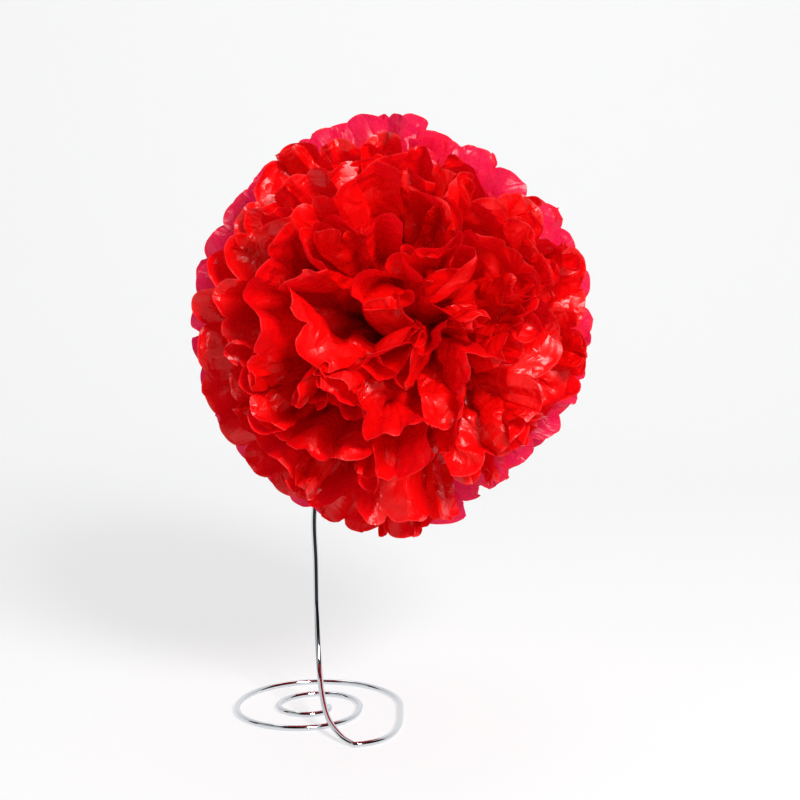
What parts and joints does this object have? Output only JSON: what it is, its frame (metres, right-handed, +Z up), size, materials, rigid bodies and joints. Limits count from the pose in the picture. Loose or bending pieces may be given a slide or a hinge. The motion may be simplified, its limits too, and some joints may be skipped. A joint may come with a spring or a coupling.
{
  "type": "tissue paper pom pom on a wire stand",
  "caption": "Red tissue paper pom pom of pleated, tied and pulled-apart sheets, hung by its tie wire on the hook of a bent chrome wire stand with a spiral base.",
  "frame": {"origin": "on the floor, straight under the middle of the ball", "axes": "+Z up; the ball's front faces -Y, and the slot between its left and right fans runs along Z"},
  "size_m": [0.2336, 0.2422, 0.3652],
  "materials": {
    "red_tissue": "satin",
    "tie_wire": "satin",
    "chrome_wire": "polished"
  },
  "bodies": {
    "root": {"tissue_sheet_01": "red_tissue", "tissue_sheet_02": "red_tissue", "tissue_sheet_03": "red_tissue", "tissue_sheet_04": "red_tissue", "tissue_sheet_05": "red_tissue", "tissue_sheet_06": "red_tissue", "tissue_sheet_07": "red_tissue", "tissue_sheet_08": "red_tissue", "tissue_sheet_09": "red_tissue", "tissue_sheet_10": "red_tissue", "tie_wire": "tie_wire", "wire_stand": "chrome_wire"}
  },
  "joints": []
}
